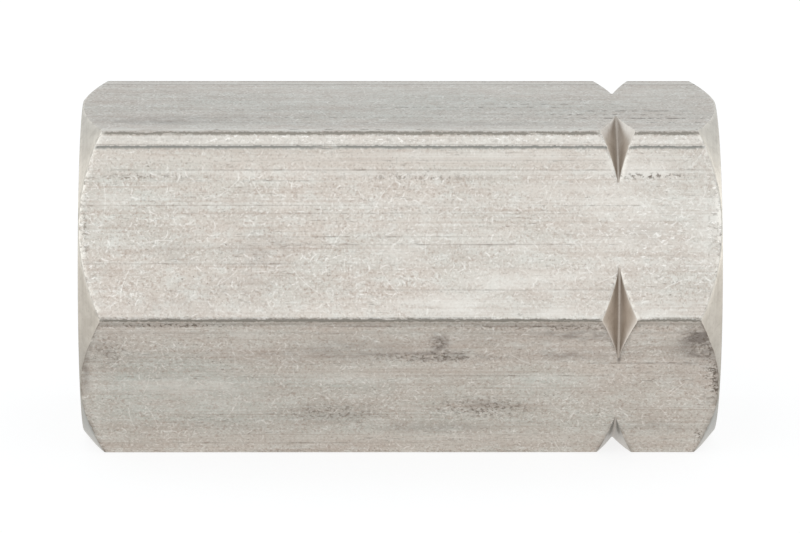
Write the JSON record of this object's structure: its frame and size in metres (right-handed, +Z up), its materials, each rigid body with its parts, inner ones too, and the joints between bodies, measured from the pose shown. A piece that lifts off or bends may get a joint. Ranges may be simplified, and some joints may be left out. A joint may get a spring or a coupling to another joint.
{
  "type": "coupling nut",
  "caption": "Long hexagonal coupling nut, right-hand thread in one end and left-hand in the other, with a V-groove across the corners marking the left-hand end.",
  "frame": {"origin": "on the nut's axis, halfway between its two end faces", "axes": "+X along the axis towards the grooved, left-hand end; +Z up, square to the flat opposite the one it rests on"},
  "size_m": [0.036, 0.0218, 0.019],
  "materials": {
    "steel": "plain stainless steel: drawn flats with fine lines along the bar, tumbled, with turned chamfers and groove"
  },
  "bodies": {
    "root": {"coupling_nut": "steel"}
  },
  "joints": []
}
